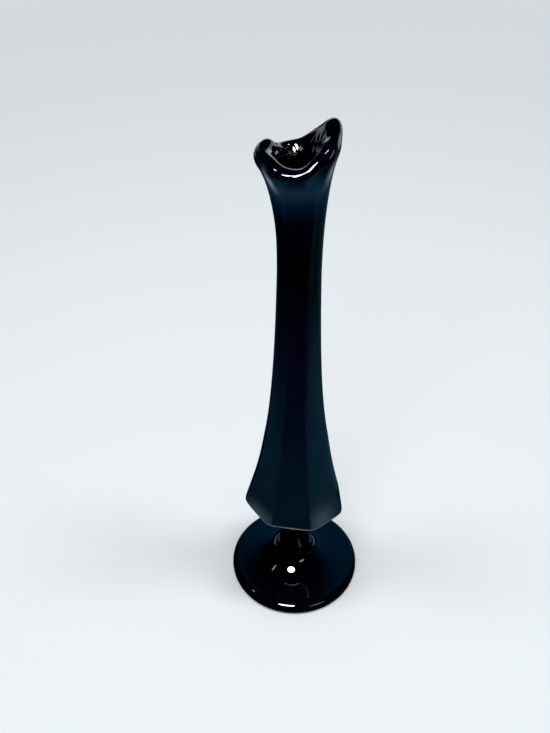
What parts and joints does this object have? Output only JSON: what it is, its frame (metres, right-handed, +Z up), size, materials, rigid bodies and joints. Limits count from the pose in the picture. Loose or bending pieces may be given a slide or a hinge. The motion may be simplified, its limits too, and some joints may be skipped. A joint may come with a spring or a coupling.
{
  "type": "swung bud vase",
  "caption": "Tall black glass bud vase with a round foot, a short stem, a panelled tapering body and a lobed, flared lip; holds a flower stem.",
  "frame": {"origin": "centre of the flat ring that the foot rests on", "axes": "+Z up along the vase's axis; -Y is the side that faces the viewer, with +X to the right"},
  "size_m": [0.0696, 0.0696, 0.2884],
  "materials": {
    "foot_glass": "black glass, pressed and fire-polished to a high gloss",
    "stem_glass": "black glass, fire-polished",
    "body_glass": "black glass, soft satin gloss from the mould on the panels, fire-polished at the lip"
  },
  "bodies": {
    "root": {"foot": "foot_glass", "stem": "stem_glass", "body": "body_glass"}
  },
  "joints": []
}
